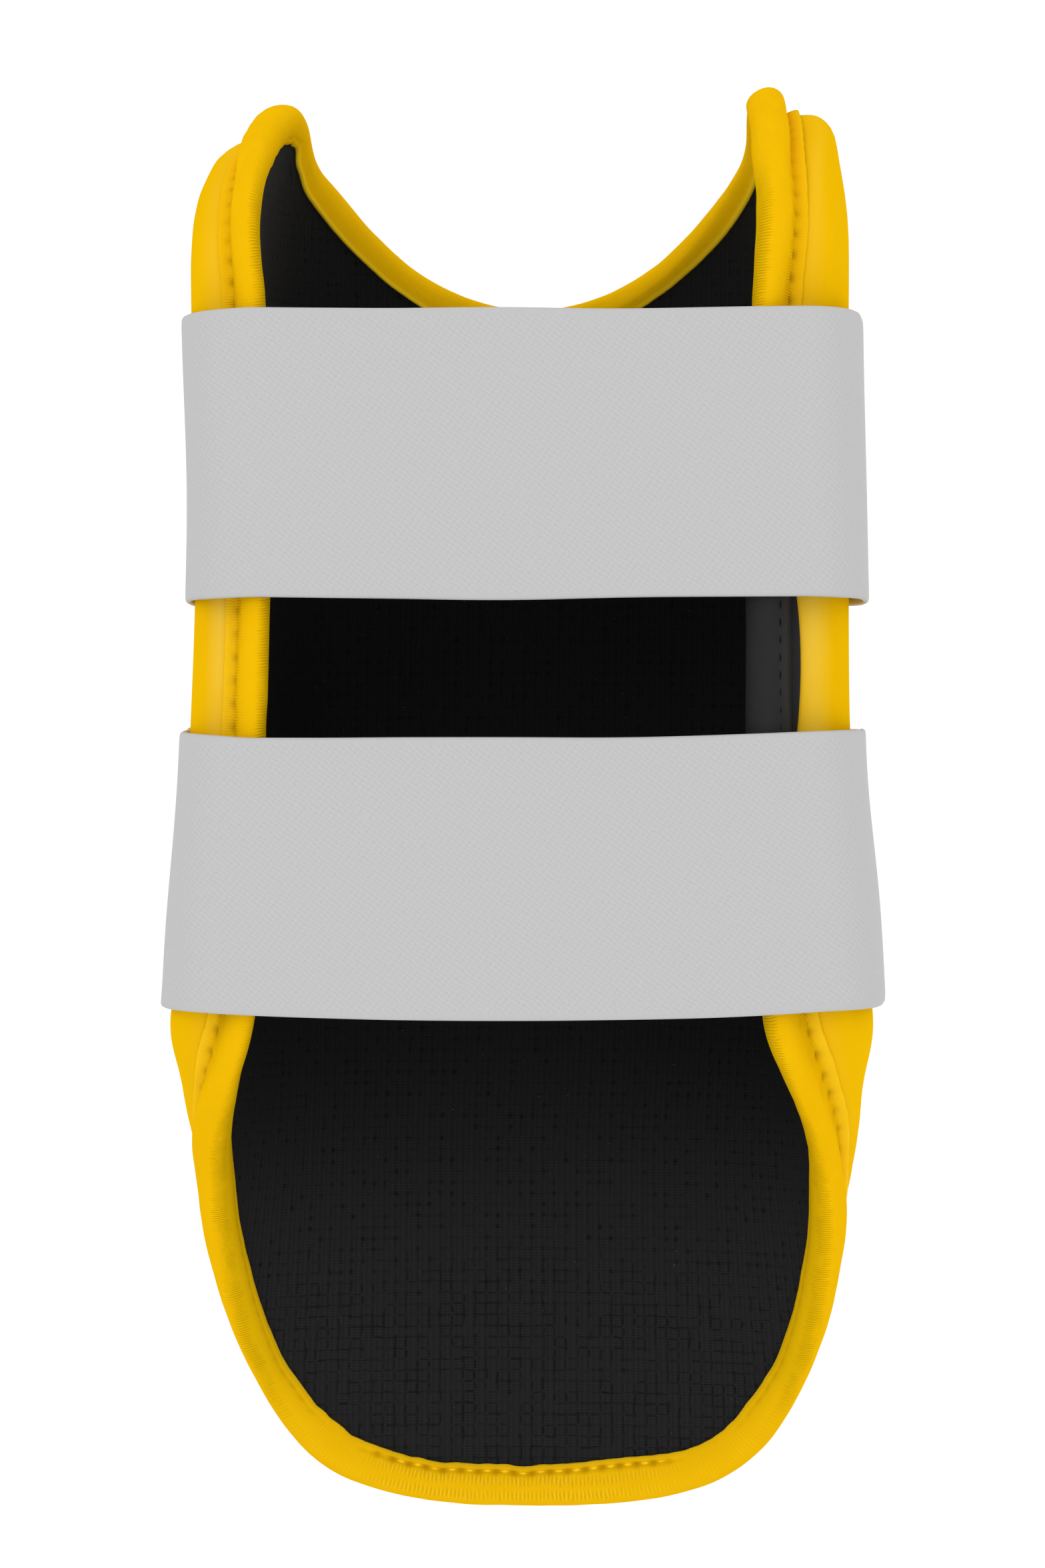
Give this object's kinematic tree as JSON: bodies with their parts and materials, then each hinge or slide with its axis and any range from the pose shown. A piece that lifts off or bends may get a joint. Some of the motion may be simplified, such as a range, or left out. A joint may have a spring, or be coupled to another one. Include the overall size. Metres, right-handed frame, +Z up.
{
  "type": "elbow guard",
  "caption": "Padded batter's elbow guard: U-shaped trough with scooped top and rounded tongue, mesh lining, bound edge, elastic straps across the open side.",
  "frame": {"origin": "bottom centre of the bounding box, on the plane the padded back rests on", "axes": "+X across the arm to the side with the label, +Y along the arm from the tongue to the scooped top, +Z up out of the open, strapped side"},
  "size_m": [0.13, 0.2612, 0.0826],
  "materials": {
    "shell_fabric": "smooth satin yellow cover over foam",
    "lining_mesh": "matt black dimpled mesh",
    "binding_tape": "matt yellow ribbed stretch tape",
    "strap_elastic": "matt light grey twill elastic",
    "label_weave": "dark charcoal satin weave, bare"
  },
  "bodies": {
    "root": {"shell": "shell_fabric", "lining": "lining_mesh", "binding": "binding_tape", "strap_upper": "strap_elastic", "strap_lower": "strap_elastic", "label": "label_weave"}
  },
  "joints": []
}
